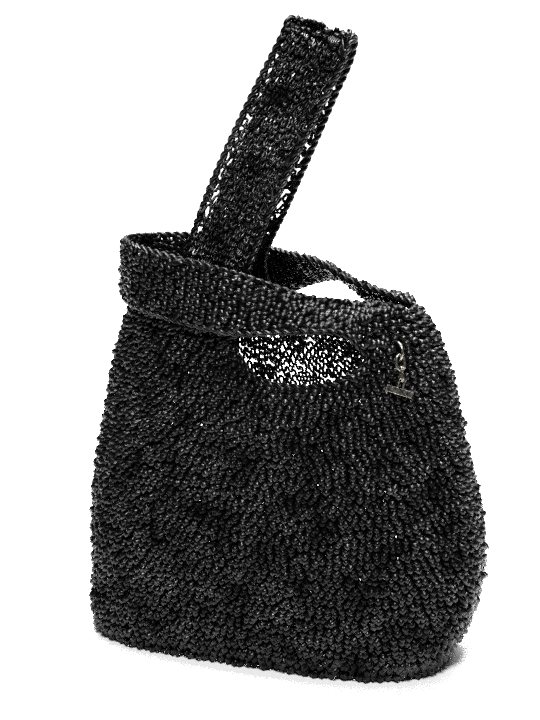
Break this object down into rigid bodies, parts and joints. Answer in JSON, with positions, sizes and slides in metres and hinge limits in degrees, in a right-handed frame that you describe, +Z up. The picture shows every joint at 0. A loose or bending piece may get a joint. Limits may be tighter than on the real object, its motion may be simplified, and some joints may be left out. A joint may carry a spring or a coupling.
{
  "type": "knitted wire handbag",
  "caption": "Soft knitted cord handbag: a hollow pouch with a flat base, a long handle drawn up through a short looped one, and a small hanging metal charm.",
  "frame": {"origin": "underside of the top of the long handle's fold, where it bears on a peg", "axes": "+Z up, the front towards -Y, the short handle's root and the charm towards +X"},
  "size_m": [0.2515, 0.1181, 0.3911],
  "materials": {
    "knit": "glossy black plastic-covered cord, knitted",
    "metal": "dull antique metal"
  },
  "bodies": {
    "root": {"body": "knit", "long_handle": "knit", "short_handle": "knit", "charm_ring": "metal", "charm_link_1": "metal", "charm_link_2": "metal", "charm_bar": "metal"}
  },
  "joints": []
}
